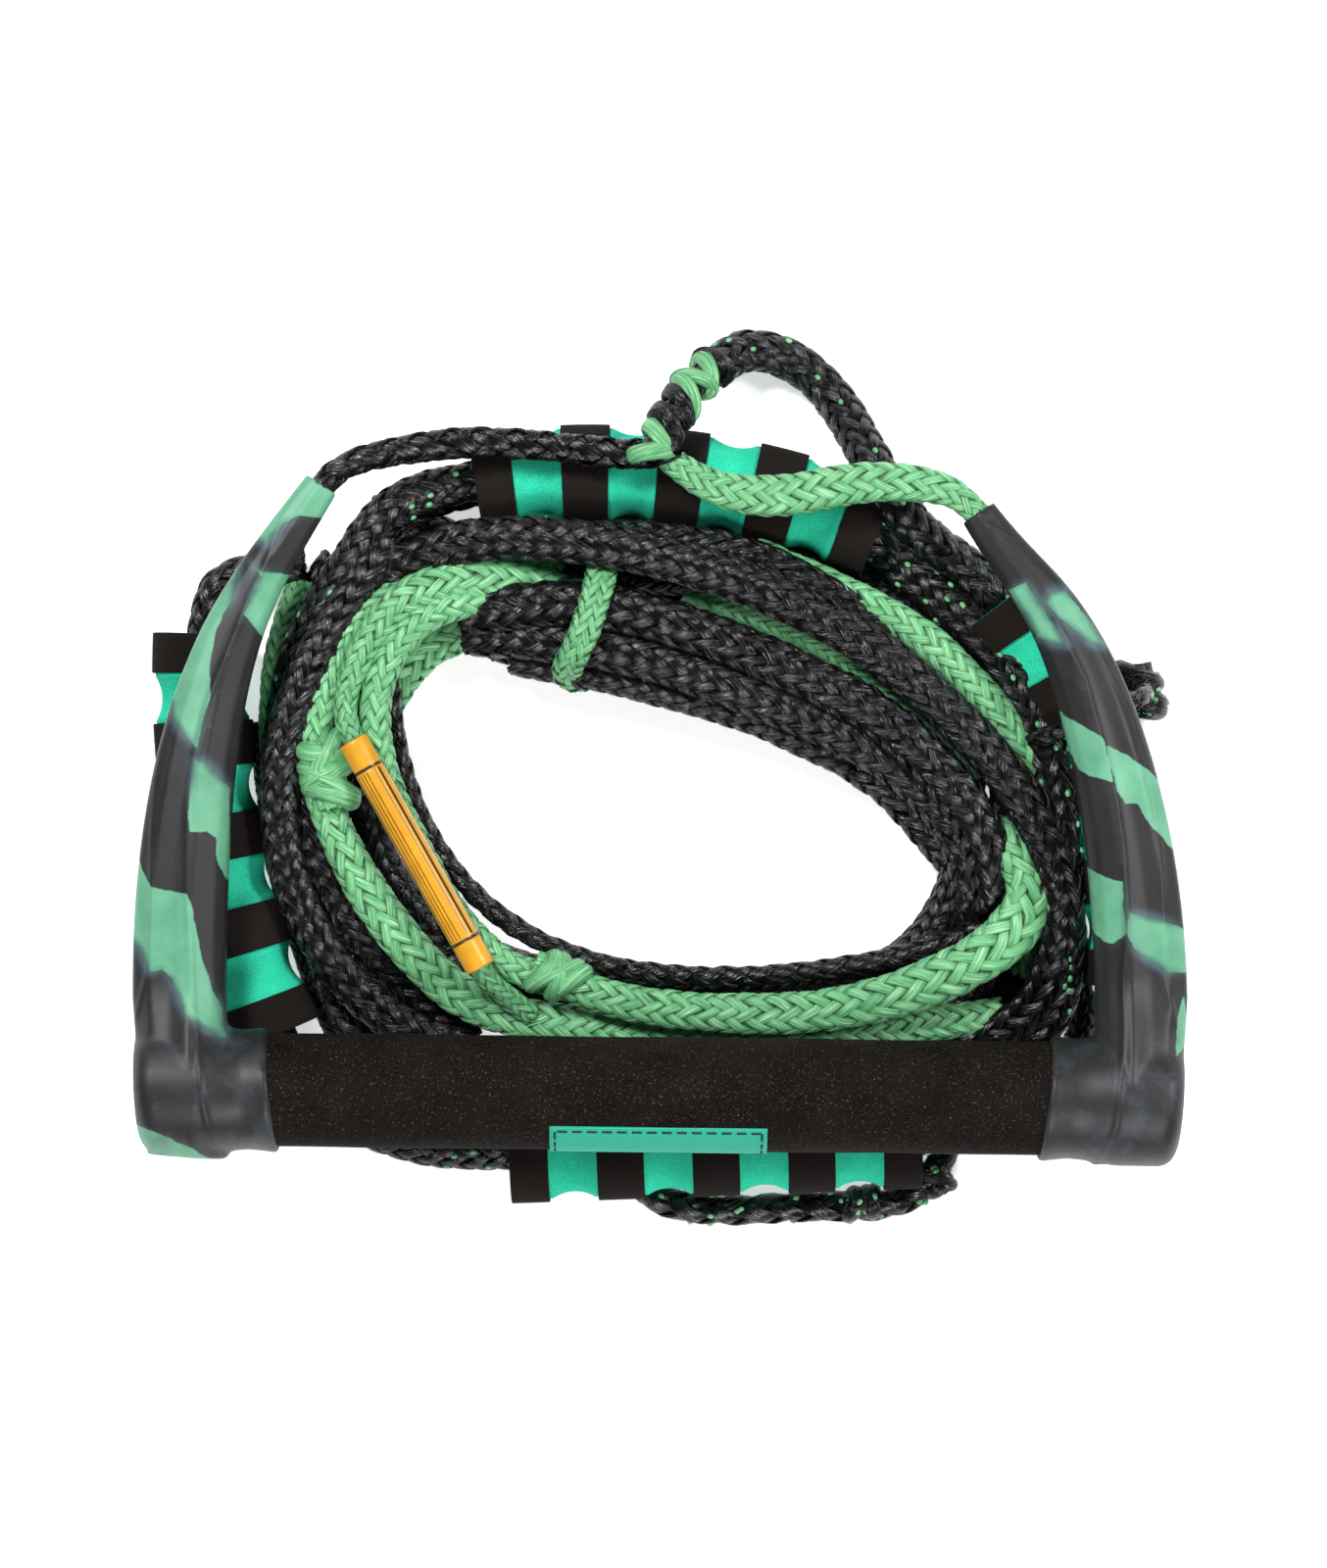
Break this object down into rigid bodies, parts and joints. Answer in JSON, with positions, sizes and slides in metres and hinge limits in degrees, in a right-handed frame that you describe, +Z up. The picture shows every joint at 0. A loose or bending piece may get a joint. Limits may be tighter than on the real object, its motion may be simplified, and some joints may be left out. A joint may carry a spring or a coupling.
{
  "type": "tow rope handle",
  "caption": "Foam-covered tow handle with curved rubber arms, a two-legged braided bridle and a coiled floating line carrying ribbed foam floats.",
  "frame": {"origin": "on the surface that the part lies on, under the middle of the handle and floats", "axes": "+X along the grip to the right, +Y from the grip towards the arm tips, +Z up"},
  "size_m": [0.3466, 0.2933, 0.0716],
  "materials": {
    "tube_aluminium": "drawn and anodised",
    "grip_foam": "moulded EVA foam with fine speckle",
    "label_teal": "printed patch, no lettering",
    "arm_rubber": "moulded rubber, green and black marbled",
    "float_core": "ground closed-cell EVA foam",
    "float_skin": "closed-cell EVA foam sheet",
    "rope_black": "hollow braid of twisted polyethylene strands",
    "rope_green": "hollow braid of twisted polyethylene strands",
    "rope_flecked": "black braid with green tracer strands",
    "sleeve_amber": "heat-shrunk sleeve",
    "plug_plastic": "moulded"
  },
  "bodies": {
    "root": {"tow_line": "rope_flecked", "tail_line": "rope_flecked", "inner_line": "rope_flecked", "left_leg": "rope_black", "right_leg": "rope_green", "bridle_splice": "rope_green", "right_side_line": "rope_black", "lower_side_line": "rope_flecked", "rope_coil": "rope_black", "label_sleeve": "sleeve_amber", "left_section_knot": "rope_green", "lower_section_knot": "rope_green", "right_end_knot": "rope_flecked", "lower_line_knot": "rope_flecked"},
    "handle": {"grip_tube": "tube_aluminium", "foam_grip": "grip_foam", "grip_label": "label_teal", "left_arm": "arm_rubber", "right_arm": "arm_rubber", "left_rope_tail": "rope_black", "right_rope_tail": "rope_green", "left_tube_plug": "plug_plastic", "right_tube_plug": "plug_plastic", "left_stopper_knot": "rope_black", "right_stopper_knot": "rope_green"},
    "float_a": {"float_a_core": "float_core", "float_a_bands": "float_skin"},
    "float_b": {"float_b_core": "float_core", "float_b_bands": "float_skin"},
    "float_c": {"float_c_core": "float_core", "float_c_bands": "float_skin"},
    "float_d": {"float_d_core": "float_core", "float_d_bands": "float_skin"}
  },
  "joints": [
    {"name": "handle_swing", "type": "hinge", "parent": "root", "child": "handle", "pos_m": [-0.0048, 0.1088, 0.05], "axis": [-0.9993, 0.038, 0], "range_deg": [0, 95]},
    {"name": "float_a_slide", "type": "hinge", "parent": "root", "child": "float_a", "pos_m": [-0.02339, -0.12891, 0.0165], "axis": [0, 0, 1], "range_deg": [0, 1.4]},
    {"name": "float_b_slide", "type": "hinge", "parent": "root", "child": "float_b", "pos_m": [0.15646, 0.04753, 0.0165], "axis": [0, 0, 1], "range_deg": [0, 0.75]},
    {"name": "float_c_slide", "type": "hinge", "parent": "root", "child": "float_c", "pos_m": [-0.05423, -0.0579, 0.0165], "axis": [0, 0, -1], "range_deg": [0, 1.6]},
    {"name": "float_d_slide", "type": "slide", "parent": "root", "child": "float_d", "axis": [-0.9994, -0.036, 0], "range_m": [0, 0.006]}
  ]
}
